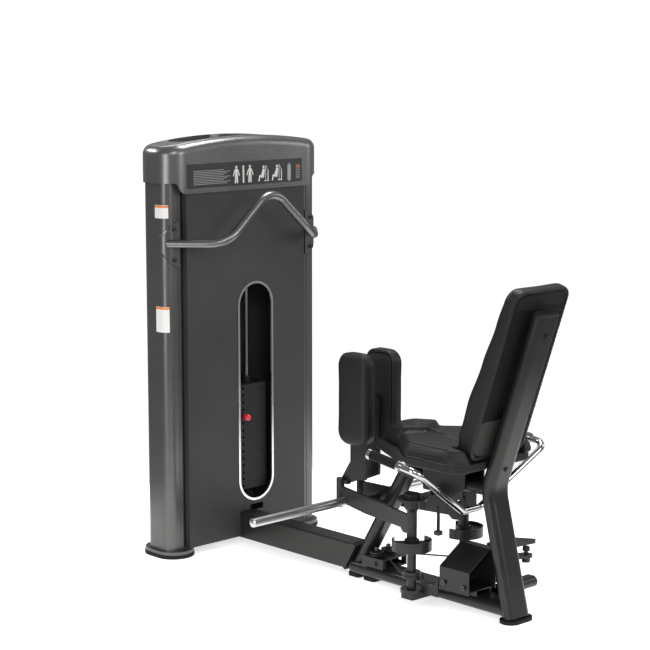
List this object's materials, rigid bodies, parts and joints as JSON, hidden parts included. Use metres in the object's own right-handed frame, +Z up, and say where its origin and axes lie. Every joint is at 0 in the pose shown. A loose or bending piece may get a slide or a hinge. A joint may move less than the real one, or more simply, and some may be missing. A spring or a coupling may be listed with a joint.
{
  "type": "hip adductor and abductor machine",
  "caption": "Seated inner and outer thigh exercise machine with a pin-selected weight tower, padded seat and back, swinging leg arms and foot pegs.",
  "frame": {"origin": "on the floor, under the middle of the machine's bounding box", "axes": "+Y from the seat towards the weight tower, +X to the seated user's right, +Z up"},
  "size_m": [1.04, 1.7022, 1.59],
  "materials": {
    "column_paint": "satin metallic graphite powder coat",
    "frame_paint": "satin metallic graphite powder coat",
    "shroud_paint": "fine matt dark grey powder coat",
    "cap_shell": "moulded shell sprayed gunmetal",
    "placard": "smooth dark panel",
    "plate_paint": "black painted cast plates",
    "polished_trim": "bright trim",
    "satin_steel": "satin chrome",
    "chrome": "bright chrome",
    "bolt_steel": "black oxide",
    "rubber": "moulded rubber",
    "foam_grip": "matt foam rubber",
    "black_plastic": "moulded",
    "shell_plastic": "textured moulded",
    "pulley_plastic": "machined nylon",
    "red_plastic": "glossy knob",
    "cable": "nylon coated steel wire rope",
    "upholstery": "grained black synthetic leather"
  },
  "bodies": {
    "frame": {"left_column": "column_paint", "right_column": "column_paint", "rubber_feet": "rubber", "tower_cap": "cap_shell", "placard": "placard", "front_shroud": "shroud_paint", "rear_shroud": "shroud_paint", "slot_trim": "polished_trim", "tower_crossmembers": "frame_paint", "tower_handle": "satin_steel", "handle_plates": "frame_paint", "guide_rods": "chrome", "stack_buffers": "rubber", "resting_plates": "plate_paint", "pulley_brackets": "frame_paint", "stack_cable": "cable", "arm_cables": "cable", "main_beam": "frame_paint", "front_tube": "frame_paint", "rear_post": "frame_paint", "base_tube": "frame_paint", "seat_support": "frame_paint", "post_end_cap": "black_plastic", "pivot_posts": "frame_paint", "pivot_bridge": "frame_paint", "bearing_caps": "black_plastic", "arm_stop": "rubber", "seat_pan": "shell_plastic", "seat_pad": "upholstery", "back_pad": "upholstery", "back_shell": "shell_plastic", "seat_handle_bar": "chrome", "handle_grips": "foam_grip", "handle_collars": "chrome", "mechanism_cover": "frame_paint", "index_plate": "frame_paint", "frame_bolts": "bolt_steel"},
    "left_arm": {"left_leg_arm": "frame_paint", "left_cam": "frame_paint", "left_foot_peg": "satin_steel"},
    "right_arm": {"right_leg_arm": "frame_paint", "right_cam": "frame_paint", "right_foot_peg": "satin_steel"},
    "left_pad": {"left_pad_bracket": "frame_paint", "left_pad_shell": "shell_plastic", "left_thigh_pad": "upholstery"},
    "right_pad": {"right_pad_bracket": "frame_paint", "right_pad_shell": "shell_plastic", "right_thigh_pad": "upholstery"},
    "carriage": {"head_plate": "plate_paint", "selector_stem": "chrome", "lifted_plates": "plate_paint"},
    "selector": {"selector_pin": "chrome", "selector_knob": "red_plastic"},
    "top_pulley": {"top_pulley": "pulley_plastic"},
    "base_pulley": {"base_pulley": "pulley_plastic"},
    "left_redirect_pulley": {"left_redirect_pulley": "pulley_plastic"},
    "right_redirect_pulley": {"right_redirect_pulley": "pulley_plastic"},
    "adjuster": {"adjuster_lever": "frame_paint", "adjuster_knob": "black_plastic"}
  },
  "joints": [
    {"name": "left_arm_hinge", "type": "hinge", "parent": "frame", "child": "left_arm", "pos_m": [-0.134, -0.356, 0.2], "axis": [0, 0, 1], "range_deg": [0, 50]},
    {"name": "right_arm_hinge", "type": "hinge", "parent": "frame", "child": "right_arm", "pos_m": [0.134, -0.356, 0.2], "axis": [0, 0, -1], "range_deg": [0, 50]},
    {"name": "weight_lift", "type": "slide", "parent": "frame", "child": "carriage", "axis": [0, 0, 1], "range_m": [0, 0.131]},
    {"name": "top_pulley_spin", "type": "hinge", "parent": "frame", "child": "top_pulley", "pos_m": [0, 0.7773, 1.325], "axis": [-1, 0, 0], "range_deg": [0, 174]},
    {"name": "base_pulley_spin", "type": "hinge", "parent": "frame", "child": "base_pulley", "pos_m": [0, 0.7773, 0.1553], "axis": [-1, 0, 0], "range_deg": [0, 174]},
    {"name": "left_redirect_spin", "type": "hinge", "parent": "frame", "child": "left_redirect_pulley", "pos_m": [-0.0303, -0.082, 0.112], "axis": [0, 0, -1], "range_deg": [0, 61]},
    {"name": "right_redirect_spin", "type": "hinge", "parent": "frame", "child": "right_redirect_pulley", "pos_m": [0.0303, -0.082, 0.112], "axis": [0, 0, 1], "range_deg": [0, 61]},
    {"name": "left_pad_swivel", "type": "hinge", "parent": "left_arm", "child": "left_pad", "pos_m": [-0.052, 0.085, 0.35], "axis": [0, 0, -1], "range_deg": [0, 180]},
    {"name": "right_pad_swivel", "type": "hinge", "parent": "right_arm", "child": "right_pad", "pos_m": [0.052, 0.085, 0.35], "axis": [0, 0, 1], "range_deg": [0, 180]},
    {"name": "selector_pin_pull", "type": "slide", "parent": "carriage", "child": "selector", "axis": [0, -1, 0], "range_m": [0, 0.075]},
    {"name": "adjuster_swing", "type": "hinge", "parent": "frame", "child": "adjuster", "pos_m": [0.096, -0.55, 0.16], "axis": [0, 0, 1], "range_deg": [-13, 39]}
  ],
  "couplings": [
    {"joint": "right_arm_hinge", "follows": "left_arm_hinge", "ratio": 1},
    {"joint": "weight_lift", "follows": "left_arm_hinge", "m_per_rad": 0.15},
    {"joint": "top_pulley_spin", "follows": "left_arm_hinge", "ratio": 3.4642},
    {"joint": "base_pulley_spin", "follows": "left_arm_hinge", "ratio": 3.4642},
    {"joint": "left_redirect_spin", "follows": "left_arm_hinge", "ratio": 1.2058},
    {"joint": "right_redirect_spin", "follows": "left_arm_hinge", "ratio": 1.2058}
  ]
}
